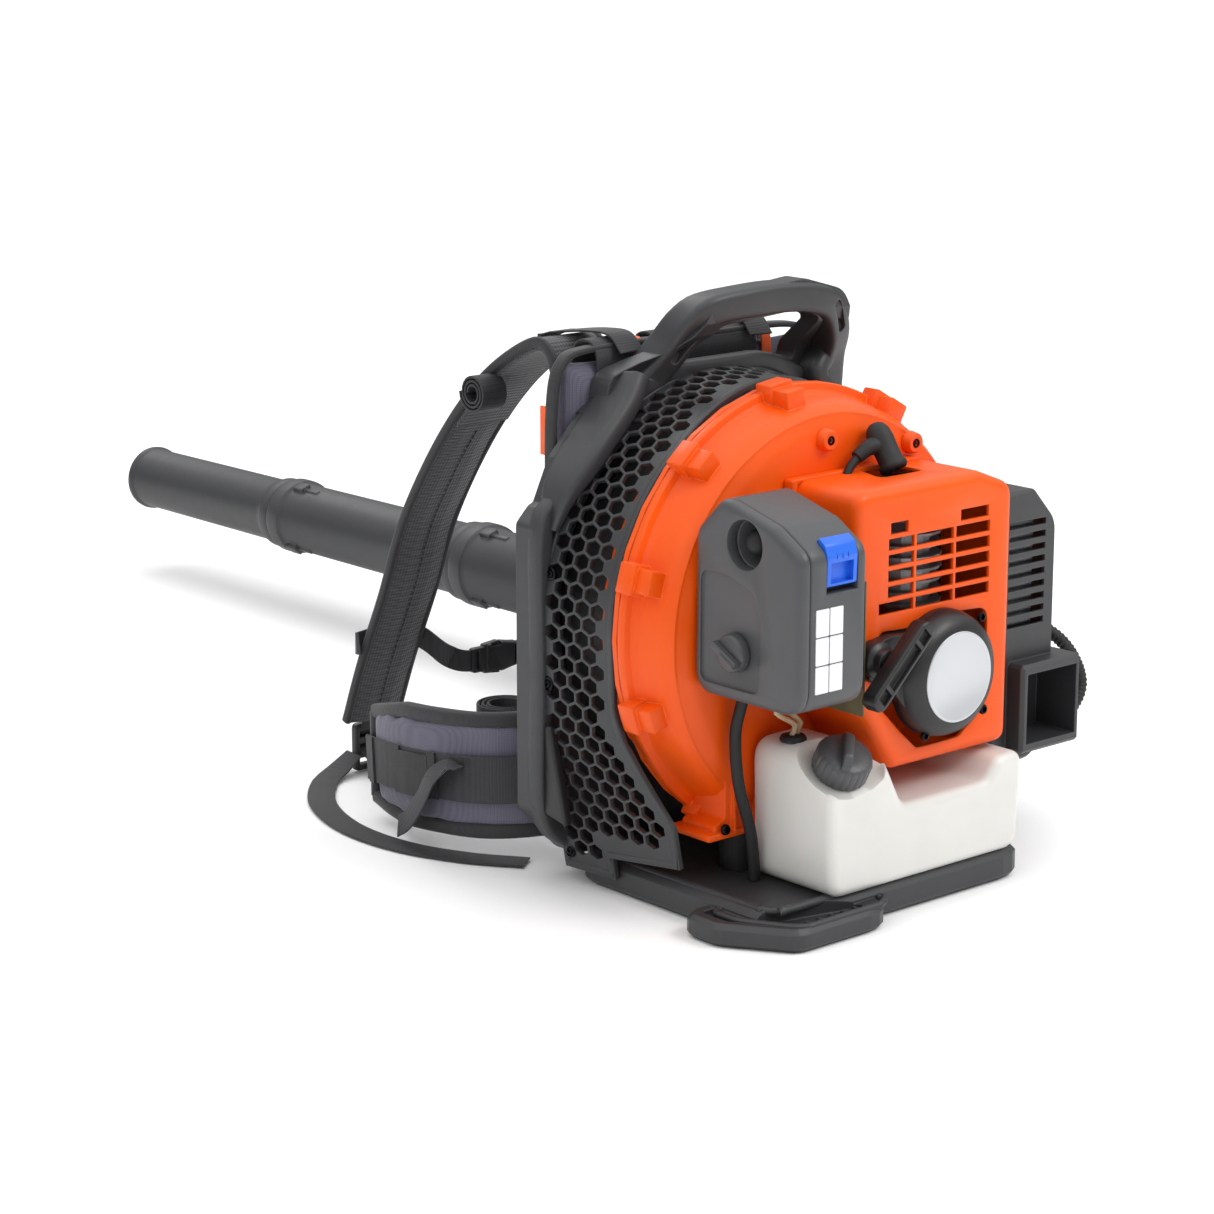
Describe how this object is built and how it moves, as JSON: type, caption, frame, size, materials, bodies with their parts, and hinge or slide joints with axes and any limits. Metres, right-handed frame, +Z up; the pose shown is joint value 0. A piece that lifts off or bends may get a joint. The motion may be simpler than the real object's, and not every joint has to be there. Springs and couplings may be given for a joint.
{
  "type": "backpack leaf blower",
  "caption": "Petrol backpack leaf blower: clipped fan housing, small engine, harness and a long jointed blow tube that swings and tilts.",
  "frame": {"origin": "on the floor under the machine, in the middle of the base plate", "axes": "+X to the wearer's right, +Y the way the wearer faces and the tube points, +Z up"},
  "size_m": [0.5381, 1.504, 0.4837],
  "materials": {
    "frame_nylon": "moulded, fine texture",
    "cover_nylon": "moulded, fine texture",
    "orange_abs": "satin",
    "black_nylon": "satin",
    "tank_polyethylene": "translucent, satin",
    "steel": "satin",
    "cast_aluminium": "as cast",
    "blue_nylon": "satin",
    "red_nylon": "satin",
    "black_rubber": "matt",
    "filter_felt": "felted",
    "heat_shield_steel": "brushed",
    "starter_cord": "braided",
    "fuel_line": "translucent",
    "pad_cloth": "woven polyester",
    "strap_mesh": "air mesh",
    "webbing": "woven nylon tape"
  },
  "bodies": {
    "machine": {"base_plate": "frame_nylon", "back_frame": "frame_nylon", "intake_grille": "frame_nylon", "fan_housing_rear": "orange_abs", "fan_housing_front": "orange_abs", "vibration_buffer": "black_rubber", "crankcase": "cast_aluminium", "cylinder": "cast_aluminium", "engine_shroud": "orange_abs", "starter_housing": "black_nylon", "spark_plug": "steel", "spark_plug_boot": "black_rubber", "muffler": "steel", "muffler_guard": "frame_nylon", "fuel_tank": "tank_polyethylene", "filter_housing": "cover_nylon", "filter_cover": "cover_nylon", "filter_element": "filter_felt", "heat_shield": "heat_shield_steel", "carburettor": "cast_aluminium", "outlet_elbow": "frame_nylon", "bellows_hose_rear": "black_rubber", "fuel_line_supply": "fuel_line", "fuel_line_return": "fuel_line", "throttle_conduit": "black_rubber", "conduit_rear_run": "black_rubber", "back_pad": "pad_cloth", "hip_belt": "pad_cloth", "shoulder_strap_left": "strap_mesh", "shoulder_strap_right": "strap_mesh", "chest_strap": "webbing", "strap_adjuster_left": "black_nylon", "strap_adjuster_right": "black_nylon", "webbing_tail": "webbing"},
    "crank": {"crankshaft_front_half": "steel", "crankshaft_rear_half": "steel", "impeller": "cover_nylon", "flywheel": "cast_aluminium"},
    "piston": {"piston": "cast_aluminium", "connecting_rod": "steel"},
    "starter_pulley": {"starter_pulley": "black_nylon"},
    "starter_grip": {"starter_grip": "black_nylon", "starter_rope": "starter_cord"},
    "fuel_cap": {"fuel_cap": "cover_nylon"},
    "filter_knob": {"filter_knob": "cover_nylon"},
    "choke_lever": {"choke_lever": "blue_nylon"},
    "primer_bulb": {"primer_bulb": "black_rubber"},
    "hose_middle": {"hose_cuff": "frame_nylon", "bellows_hose_front": "black_rubber", "conduit_front_run": "black_rubber"},
    "blower_tube": {"hose_clamp": "black_nylon", "swivel_pipe": "frame_nylon", "middle_pipe": "frame_nylon", "nozzle_pipe": "frame_nylon", "conduit_grip_run": "black_rubber"},
    "control_grip": {"control_grip": "black_nylon"},
    "clamp_knob": {"clamp_knob": "black_nylon"},
    "throttle_trigger": {"throttle_trigger": "red_nylon"},
    "cruise_lever": {"cruise_lever": "black_nylon"},
    "stop_switch": {"stop_switch": "red_nylon"}
  },
  "joints": [
    {"name": "tube_yaw", "type": "hinge", "parent": "machine", "child": "hose_middle", "pos_m": [0.25, 0.087, 0.102], "axis": [0, 0, 1], "range_deg": [-15, 5], "deforming": ["bellows_hose_rear", "conduit_rear_run"]},
    {"name": "tube_pitch", "type": "hinge", "parent": "hose_middle", "child": "blower_tube", "pos_m": [0.25, 0.237, 0.102], "axis": [1, 0, 0], "range_deg": [-3, 22], "deforming": ["bellows_hose_front", "conduit_front_run"]},
    {"name": "grip_slide", "type": "slide", "parent": "blower_tube", "child": "control_grip", "axis": [0, 1, 0], "range_m": [-0.05, 0.1], "deforming": ["conduit_grip_run"]},
    {"name": "clamp_knob_turn", "type": "hinge", "parent": "control_grip", "child": "clamp_knob", "pos_m": [0.25, 0.43, 0.102], "axis": [-1, 0, 0], "range_deg": [-180, 180]},
    {"name": "throttle_pull", "type": "hinge", "parent": "control_grip", "child": "throttle_trigger", "pos_m": [0.25, 0.456, 0.2518], "axis": [-1, 0, 0], "range_deg": [0, 15], "stiffness_Nm_per_rad": 0.6, "springref_deg": -11.46},
    {"name": "cruise_turn", "type": "hinge", "parent": "control_grip", "child": "cruise_lever", "pos_m": [0.263, 0.442, 0.2418], "axis": [1, 0, 0], "range_deg": [-25, 0]},
    {"name": "stop_rock", "type": "hinge", "parent": "control_grip", "child": "stop_switch", "pos_m": [0.25, 0.45, 0.2668], "axis": [1, 0, 0], "range_deg": [-7, 7]},
    {"name": "fuel_cap_turn", "type": "hinge", "parent": "machine", "child": "fuel_cap", "pos_m": [-0.0605, -0.183, 0.123], "axis": [-0.1191, -0.5261, 0.842], "range_deg": [0, 360]},
    {"name": "filter_knob_turn", "type": "hinge", "parent": "machine", "child": "filter_knob", "pos_m": [-0.153, -0.16, 0.23], "axis": [-1, 0, 0], "range_deg": [0, 90]},
    {"name": "choke_turn", "type": "hinge", "parent": "machine", "child": "choke_lever", "pos_m": [0, -0.2265, 0.292], "axis": [1, 0, 0], "range_deg": [0, 25]},
    {"name": "primer_press", "type": "slide", "parent": "machine", "child": "primer_bulb", "axis": [1, 0, 0], "range_m": [0, 0.005], "stiffness_N_per_m": 600, "springref_m": -0.001, "deforming": ["primer_bulb"]},
    {"name": "starter_pull", "type": "slide", "parent": "machine", "child": "starter_grip", "axis": [0, -1, 0], "range_m": [0, 0.6], "stiffness_N_per_m": 20, "springref_m": -0.15, "deforming": ["starter_rope"]},
    {"name": "starter_pulley_spin", "type": "hinge", "parent": "machine", "child": "starter_pulley", "pos_m": [0.042, 0, 0.188], "axis": [0, 1, 0], "continuous": true},
    {"name": "crank_spin", "type": "hinge", "parent": "machine", "child": "crank", "pos_m": [0.042, 0, 0.188], "axis": [0, 1, 0], "continuous": true},
    {"name": "piston_slide", "type": "slide", "parent": "machine", "child": "piston", "axis": [0, 0, -1], "range_m": [0, 0.032]}
  ],
  "couplings": [
    {"joint": "starter_pulley_spin", "follows": "starter_pull", "rad_per_m": 46.5}
  ]
}
